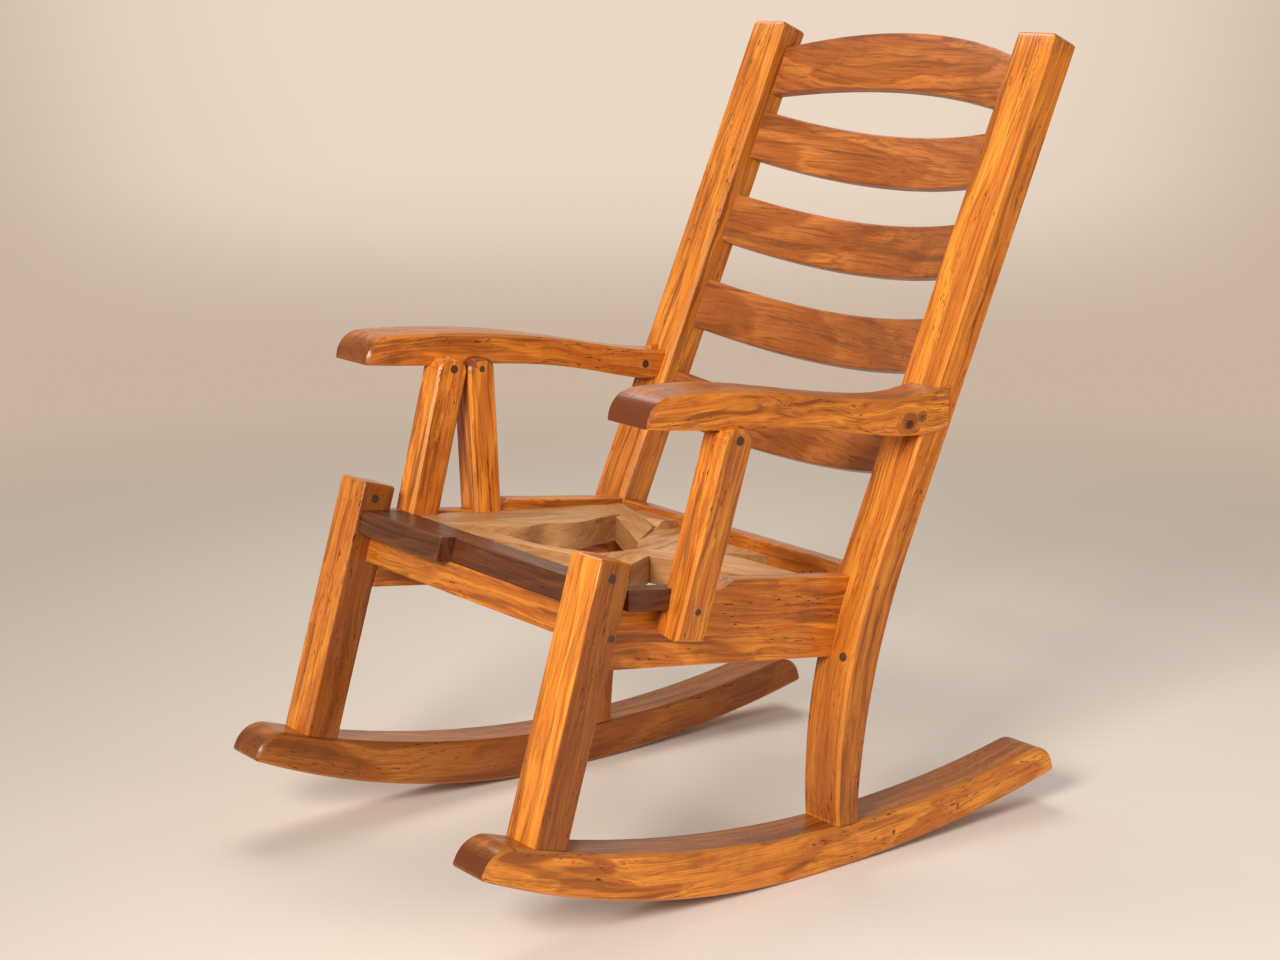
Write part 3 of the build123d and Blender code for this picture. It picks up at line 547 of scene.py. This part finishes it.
def dress(piece):
    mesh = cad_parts[piece["node"]].data.copy()
    mesh.name = piece["node"]
    bm = bmesh.new()
    if "form" in piece:
        piece["form"](bm, piece)
    else:
        bm.from_mesh(mesh)
        bmesh.ops.remove_doubles(bm, verts=bm.verts, dist=mending["weld"])
        bmesh.ops.dissolve_limit(bm, angle_limit=mending["flat"], verts=bm.verts, edges=bm.edges)
        markEdgeHighlight(bm)
    if "roundTop" in piece:
        roundTop(bm, *piece["roundTop"])
    if "slices" in piece:
        sliceAlong(bm, *piece["slices"])
    for face in bm.faces:
        face.smooth = True
    bm.to_mesh(mesh)
    bm.free()
    mesh.set_sharp_from_angle(angle=softEdge["angle"])
    mesh.materials.clear()
    mesh.materials.append(finishes[piece["finish"]])
    addFigure(mesh, piece)
    obj = addObject(piece["node"] + ".dressed", mesh)
    soften = obj.modifiers.new("softEdges", "BEVEL")
    soften.width = piece.get("edge", softEdge["width"])
    soften.segments = softEdge["segments"]
    soften.limit_method = "ANGLE"
    soften.angle_limit = softEdge["angle"]
    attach(obj, "root")
    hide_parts(piece["node"])


# rockers: a sawn rocker's grain follows the running edge most of the way

rockerShape = {"contactY": 0.039, "frontRadius": 1.288, "rearRadius": 2.117, "follow": 0.8, "squash": 0.9}


def rockerGrain(point):
    side = "frontRadius" if point.y < rockerShape["contactY"] else "rearRadius"
    radius = rockerShape[side]
    reach = point.y - rockerShape["contactY"]
    rise = radius - math.sqrt(radius ** 2 - reach ** 2)
    height = (point.z - rise * rockerShape["follow"]) * rockerShape["squash"]
    return Vector((point.y, height, point.x))


# the rockers' tops and the far rocker's inner side carry painted shade; their noses are darker end grain
leftRocker = {"node": "left_rocker", "seed": (0.31, 0.030, 0.050), "shades": {"top": 0.62, "nose": 0.85}}
rightRocker = {"node": "right_rocker", "seed": (1.73, 0.034, -0.060),
               "shades": {"left": 0.6, "top": 0.62, "nose": 0.7}}
for rocker in (leftRocker, rightRocker):
    dress({**rocker, "finish": "flameWood", "grain": rockerGrain, "slices": (1, 0.03)})
print("rockers done")

# front legs and rear posts: a post is straight above the seat and bent forwards below it

legRake = math.radians(16.6)
legGrain = straightGrain((0, math.sin(legRake), math.cos(legRake)), (0, -1, 0))
postShape = {
    "topY": 0.456, "topZ": 1.136, "lean": math.radians(23.8),
    "bendZ": 0.42, "footY": 0.078, "footZ": 0.066, "bendPower": 2.5, "topRadius": 0.010,
}
leanSin = math.sin(postShape["lean"])
leanCos = math.cos(postShape["lean"])
leanSlope = math.tan(postShape["lean"])
postLine = (0, leanSin, leanCos)


def postFront(height):
    # y of the straight part's front face
    return postShape["topY"] - (postShape["topZ"] - height) * leanSlope


def postGrain(point):
    if point.z > postShape["bendZ"]:
        frontY = postFront(point.z)
        slope = leanSlope
    else:
        part = max(point.z - postShape["footZ"], 0) / (postShape["bendZ"] - postShape["footZ"])
        bendY = postFront(postShape["bendZ"])
        frontY = postShape["footY"] + (bendY - postShape["footY"]) * part ** postShape["bendPower"]
        slope = leanSlope * part ** (postShape["bendPower"] - 1)
    through = (point.y - frontY) / math.sqrt(1 + slope ** 2)
    return Vector((point.z * math.sqrt(1 + leanSlope ** 2), through, point.x))


leg = {"finish": "goldWood", "grain": legGrain}
post = {"finish": "goldWood", "grain": postGrain, "slices": (2, 0.03),
        "roundTop": (postLine, postShape["topRadius"])}
# the legs' tops and sides carry painted shade, and the near leg's side is partly its own darker wood
leftLeg = {**leg, "node": "left_front_leg", "seed": (0.7, 0.045, 0.060),
           "shades": {"left": 0.75, "top": 0.3}}
rightLeg = {**leg, "node": "right_front_leg", "seed": (2.1, 0.050, -0.05),
            "shades": {"left": 0.7, "top": 0.4}}
# the far post's side turned to the left carries painted shade
leftPost = {**post, "node": "left_rear_post", "seed": (0.12, -0.040, -0.030),
            "shades": {"low": 0.35}}
rightPost = {**post, "node": "right_rear_post", "seed": (3.4, -0.035, 0.045),
             "shades": {"low": 0.25, "left": 0.3}}
for bar in (leftLeg, rightLeg, leftPost, rightPost):
    dress(bar)
print("legs and posts done")

# seat frame

seatSlope = math.radians(7.5)
railGrain = straightGrain((0, math.cos(seatSlope), -math.sin(seatSlope)), (1, 0, 0))
acrossGrain = straightGrain((1, 0, 0), (0, -math.cos(legRake), math.sin(legRake)))
sideRail = {"finish": "orangeWood", "grain": railGrain}
crossRail = {"finish": "orangeWood", "grain": acrossGrain}
darkBoard = {"finish": "walnutWood", "grain": acrossGrain}
leftRail = {**sideRail, "node": "left_side_rail", "seed": (0.9, 0.030, -0.05)}
rightRail = {**sideRail, "node": "right_side_rail", "seed": (2.4, -0.03, 0.04)}
apron = {**crossRail, "node": "front_apron", "seed": (0.5, 0.03, 0.04), "shades": {"all": 0.35}}
frontBoard = {**darkBoard, "node": "front_board", "seed": (1.2, 0.05, 0.03)}
cornerBlock = {**darkBoard, "node": "front_corner_block", "seed": (2.6, 0.04, 0.03)}
boardTongue = {**darkBoard, "node": "board_tongue", "seed": (1.2, 0.05, 0.03)}
bearer = {**darkBoard, "node": "left_arm_bearer", "grain": railGrain, "seed": (4.2, 0.03, 0.03)}
backRail = {**crossRail, "node": "back_rail", "seed": (3.3, 0.04, 0.03), "shades": {"all": 0.3}}
for board in (leftRail, rightRail, apron, frontBoard, cornerBlock, boardTongue, bearer, backRail):
    dress(board)
print("seat frame done")

# Ladder back. A slat is a rounded bar bent to three shallow arcs: its bow, and the rise and fall of
# its edges. Its ends stand on the posts' inner faces.

slatShape = {
    "half": 0.250, "height": 0.078, "thickness": 0.020, "setback": 0.022, "round": 0.0030, "stations": 48,
}
slatTenon = {"reach": 0.014, "inset": 0.012, "front": 0.006, "back": 0.003, "round": 0.0006}
slatBend = {"bow": 0.038, "rise": 0.010, "fall": 0.010}
cornerTurn = {"steps": 3, "degrees": 30}


def slatGrain(point):
    # bent with the slat: x along, y through its face, z up its height
    belly = 1 - (point.x / slatShape["half"]) ** 2
    through = (point.y - postFront(point.z)) * leanCos - slatBend["bow"] * belly
    return Vector((point.x, through, point.z / leanCos + slatBend["rise"] * belly))


def arcRise(x, rise):
    # height of a shallow arc over its chord
    half = slatShape["half"]
    radius = (half ** 2 + rise ** 2) / (2 * abs(rise))
    return math.copysign(math.sqrt(radius ** 2 - x ** 2) - radius + abs(rise), rise)


def backPoint(x, down, deep):
    # measured down the ladder back from the top of the posts, and backwards through it
    y = postShape["topY"] - down * leanSin + deep * leanCos
    z = postShape["topZ"] - down * leanCos - deep * leanSin
    return Vector((x, y, z))


def roundedSection(down, deep, radius):
    # a bar's outline between two heights and two depths: each corner's arc and where it starts
    corners = (
        (down[0], deep[0], 180),
        (down[1], deep[0], 270),
        (down[1], deep[1], 0),
        (down[0], deep[1], 90),
    )
    middleDown = (down[0] + down[1]) / 2
    middleDeep = (deep[0] + deep[1]) / 2
    points = []
    for cornerDown, cornerDeep, start in corners:
        pullDown = math.copysign(radius, middleDown - cornerDown)
        pullDeep = math.copysign(radius, middleDeep - cornerDeep)
        for step in range(cornerTurn["steps"] + 1):
            angle = math.radians(start + step * cornerTurn["degrees"])
            pointDown = cornerDown + pullDown + radius * math.cos(angle)
            pointDeep = cornerDeep + pullDeep + radius * math.sin(angle)
            points.append((pointDown, pointDeep))
    return points


def bentSlat(bm, piece):
    shape = slatShape
    sections = []
    for number in range(shape["stations"] + 1):
        x = shape["half"] * (2 * number / shape["stations"] - 1)
        bow = arcRise(x, piece["bow"])
        upper = piece["top"] + arcRise(x, piece["rise"])
        lower = piece["top"] + shape["height"] + arcRise(x, piece["fall"])
        deep = (shape["setback"] + bow, shape["setback"] + shape["thickness"] + bow)
        sections.append((x, roundedSection((upper, lower), deep, shape["round"])))
    upper = piece["top"] + slatTenon["inset"]
    lower = piece["top"] + shape["height"] - slatTenon["inset"]
    deep = (shape["setback"] + slatTenon["front"], shape["setback"] + shape["thickness"] - slatTenon["back"])
    tenon = roundedSection((upper, lower), deep, slatTenon["round"])
    reach = shape["half"] + slatTenon["reach"]
    leftTenon = [(shape["half"], tenon), (reach, tenon)]
    rightTenon = [(-reach, tenon), (-shape["half"], tenon)]
    loops = []
    for x, points in rightTenon + sections + leftTenon:
        loops.append([bm.verts.new(backPoint(x, *point)) for point in points])
    for loop, following in zip(loops, loops[1:]):
        for number in range(len(loop)):
            beside = (number + 1) % len(loop)
            bm.faces.new((loop[number], loop[beside], following[beside], following[number]))
    bm.faces.new(loops[0])
    bm.faces.new(loops[-1])
    bmesh.ops.recalc_face_normals(bm, faces=bm.faces)


crest = {"node": "crest_rail", "top": 0.036, "bow": 0.024, "rise": -0.042, "fall": -0.030,
         "seed": (0.4, 0.05, -0.02)}
slat2 = {"node": "back_slat_2", "top": 0.142, **slatBend, "seed": (1.6, 0.05, 0.03)}
slat3 = {"node": "back_slat_3", "top": 0.279, **slatBend, "seed": (2.9, 0.04, -0.03), "shades": {"all": 0.05}}
slat4 = {"node": "back_slat_4", "top": 0.420, **slatBend, "seed": (4.1, 0.06, 0.02), "shades": {"all": 0.2}}
slat5 = {"node": "back_slat_5", "top": 0.570, **slatBend, "seed": (5.3, 0.05, -0.02), "shades": {"all": 0.2}}
for slat in (crest, slat2, slat3, slat4, slat5):
    dress({**slat, "finish": "redWood", "grain": slatGrain, "form": bentSlat})
print("ladder back done")

# arms and arm posts: an arm's grain follows the middle of its side, given as (y, z)

leftArmLine = ((-0.28, 0.675), (-0.15, 0.679), (0.0, 0.658), (0.11, 0.637), (0.27, 0.632))
rightArmLine = ((-0.31, 0.672), (-0.17, 0.678), (0.0, 0.658), (0.11, 0.635), (0.27, 0.615))


def armGrain(line):
    def place(point):
        spans = [pair for pair in zip(line, line[1:]) if point.y < pair[1][0]] or [(line[-2], line[-1])]
        (startY, startZ), (endY, endZ) = spans[0]
        part = min(max((point.y - startY) / (endY - startY), 0), 1)
        height = startZ + (endZ - startZ) * part * part * (3 - 2 * part)
        return Vector((point.y, point.z - height, point.x))

    return place


frontFace = (0, -1, 0)
# the arms' tops carry painted shade; their noses are darker end grain
leftArm = {"node": "left_arm", "grain": armGrain(leftArmLine), "slices": (1, 0.02),
           "seed": (0.2, 0.035, 0.030), "shades": {"top": 0.5, "nose": 1.0}}
rightArm = {"node": "right_arm", "grain": armGrain(rightArmLine), "slices": (1, 0.02),
            "seed": (1.9, 0.030, 0.03), "shades": {"top": 0.35, "nose": 0.8}}
leftArmPost = {"node": "left_arm_post", "grain": straightGrain((0.13, 0.19, 0.97), frontFace),
               "seed": (0.45, 0.04, 0.03), "shades": {"left": 0.25}}
rightFrontArmPost = {"node": "right_front_arm_post", "grain": straightGrain((0, 0.25, 0.97), frontFace),
                     "seed": (1.4, 0.05, 0.03)}
rightRearArmPost = {"node": "right_rear_arm_post", "grain": straightGrain((0, -0.044, 1), frontFace),
                    "seed": (2.7, 0.05, 0.03), "shades": {"cap": 0.85}}
for bar in (leftArm, rightArm, leftArmPost, rightFrontArmPost, rightRearArmPost):
    dress({**bar, "finish": "orangeWood"})
print("arms and arm posts done")

# seat braces, each with the way it runs in plan

frontBrace = {"node": "seat_brace_front", "way": (0.9, 0.35, 0), "seed": (0.3, 0.05, 0.05)}
frontLeftBrace = {"node": "seat_brace_front_left", "way": (0.55, -0.8, 0), "seed": (1.3, 0.04, 0.04)}
rearRightBrace = {"node": "seat_brace_rear_right", "way": (-0.9, 0.45, 0), "seed": (2.2, 0.05, 0.03)}
backBrace = {"node": "seat_brace_back", "way": (-0.5, 0.85, 0), "seed": (3.1, 0.05, 0.02)}
leftSideBrace = {"node": "seat_brace_left_side", "way": (0.9, 0.4, 0), "seed": (3.8, 0.04, 0.05)}
rightSideBrace = {"node": "seat_brace_right_side", "way": (0.1, 1, 0), "seed": (4.3, 0.05, 0.06)}
rearCornerBlock = {"node": "rear_corner_block", "way": (1, 0.1, 0), "seed": (5.2, 0.03, 0.03)}
braces = (
    frontBrace, frontLeftBrace, rearRightBrace, backBrace, leftSideBrace, rightSideBrace, rearCornerBlock,
)
# the braces' sides carry painted shade along with their darker waney edges
for brace in braces:
    braceGrain = straightGrain(brace["way"], (0, 0, 1))
    dress({**brace, "grain": braceGrain, "finish": "paleWood", "shades": {"rim": 0.45}})
print("seat braces done")

# pegs and loose tenons

peg = {"finish": "pegWood", "grain": straightGrain((1, 0, 0), (0, 0, 1)), "edge": 0.0006}
seedStep = 0.7
for number, node in enumerate(("leg_pins", "apron_pegs", "arm_post_pegs", "arm_tail_pegs", "post_plugs")):
    dress({**peg, "node": node, "seed": (number * seedStep, 0, 0)})
dress({**peg, "node": "brace_keys", "finish": "paleWood", "seed": (6.1, 0.03, 0.03)})
print("pegs and loose tenons done")

print("all pieces dressed")
